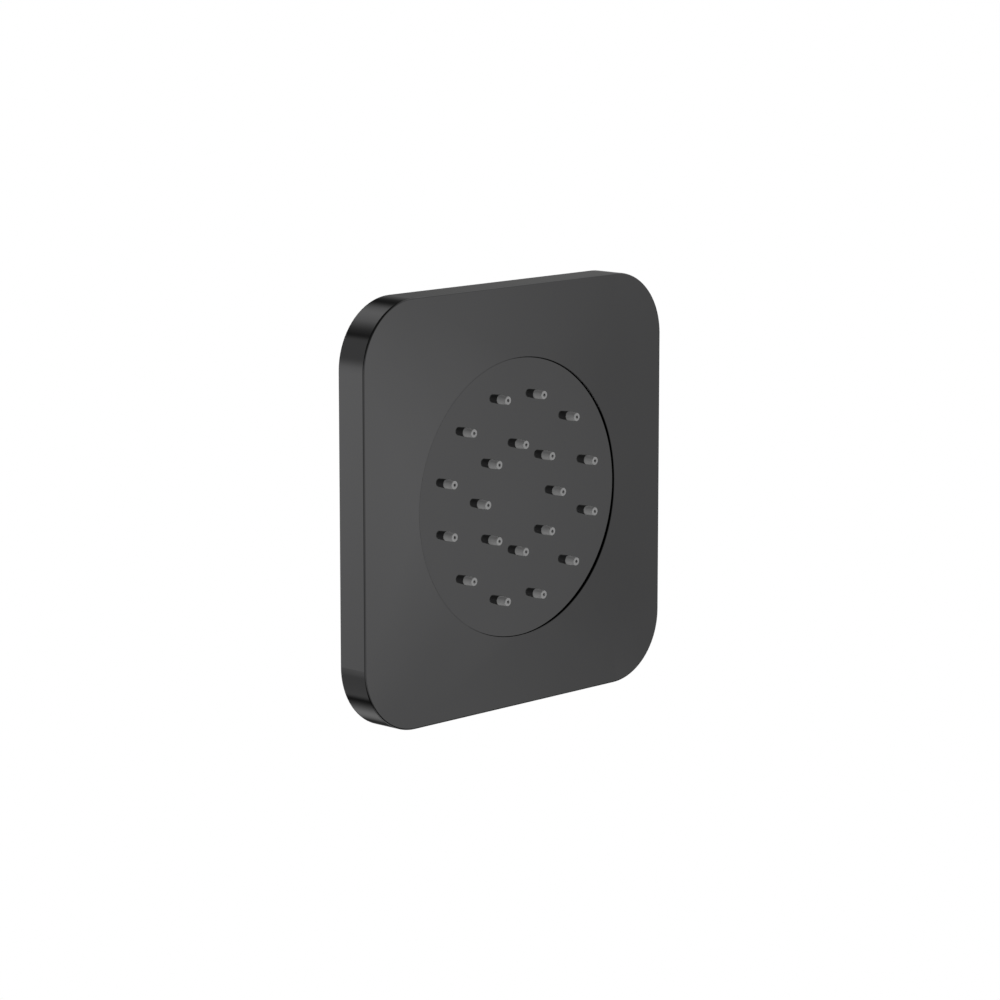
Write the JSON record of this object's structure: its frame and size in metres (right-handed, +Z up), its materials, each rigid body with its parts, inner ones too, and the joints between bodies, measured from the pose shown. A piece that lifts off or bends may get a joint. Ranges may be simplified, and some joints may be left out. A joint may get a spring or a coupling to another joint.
{
  "type": "shower body jet",
  "caption": "Rounded-square wall cover with a round spray face that swivels on a ball joint, soft nozzles, an in-wall cup and a threaded water inlet.",
  "frame": {"origin": "centre of the wall screw pattern, in the middle of the cover on the face of the wall", "axes": "+Z up, +Y into the wall along the water inlet, the spray face looks along -Y"},
  "size_m": [0.125, 0.0608, 0.125],
  "materials": {
    "black_chrome": "polished black chrome",
    "nozzle_silicone": "satin grey silicone",
    "black_rubber": "matt black rubber",
    "cup_plastic": "moulded grey",
    "brass": "turned brass",
    "fibre": "red pressed fibre",
    "regulator_plastic": "moulded green",
    "spring_steel": "bright steel",
    "strainer_plastic": "moulded pale grey",
    "liner_plastic": "moulded white",
    "chamber_plastic": "moulded black"
  },
  "bodies": {
    "wall_side": {"cover_plate": "black_chrome", "wall_gasket": "black_rubber", "cover_grommets": "black_rubber", "mounting_cup": "cup_plastic", "ball_nipple": "brass", "inlet_washer": "fibre", "lock_nut": "brass", "flow_regulator": "regulator_plastic", "regulator_ring": "black_rubber", "regulator_clip": "spring_steel", "inlet_strainer": "strainer_plastic"},
    "tilt_liner": {"front_liner": "liner_plastic"},
    "pan_liner": {"rear_liner": "liner_plastic"},
    "spray_head": {"spray_face": "black_chrome", "nozzle_mat": "nozzle_silicone", "water_chamber": "chamber_plastic", "flow_spreader": "liner_plastic", "chamber_screws": "spring_steel", "ball_seal": "black_rubber", "ball_nut": "brass"}
  },
  "joints": [
    {"name": "tilt", "type": "hinge", "parent": "wall_side", "child": "tilt_liner", "pos_m": [0, 0.00756, 0], "axis": [1, 0, 0], "range_deg": [-8, 8]},
    {"name": "pan", "type": "hinge", "parent": "tilt_liner", "child": "pan_liner", "pos_m": [0, 0.00756, 0], "axis": [0, 0, 1], "range_deg": [-8, 8]},
    {"name": "spin", "type": "hinge", "parent": "pan_liner", "child": "spray_head", "pos_m": [0, 0.00756, 0], "axis": [0, 1, 0], "continuous": true}
  ]
}
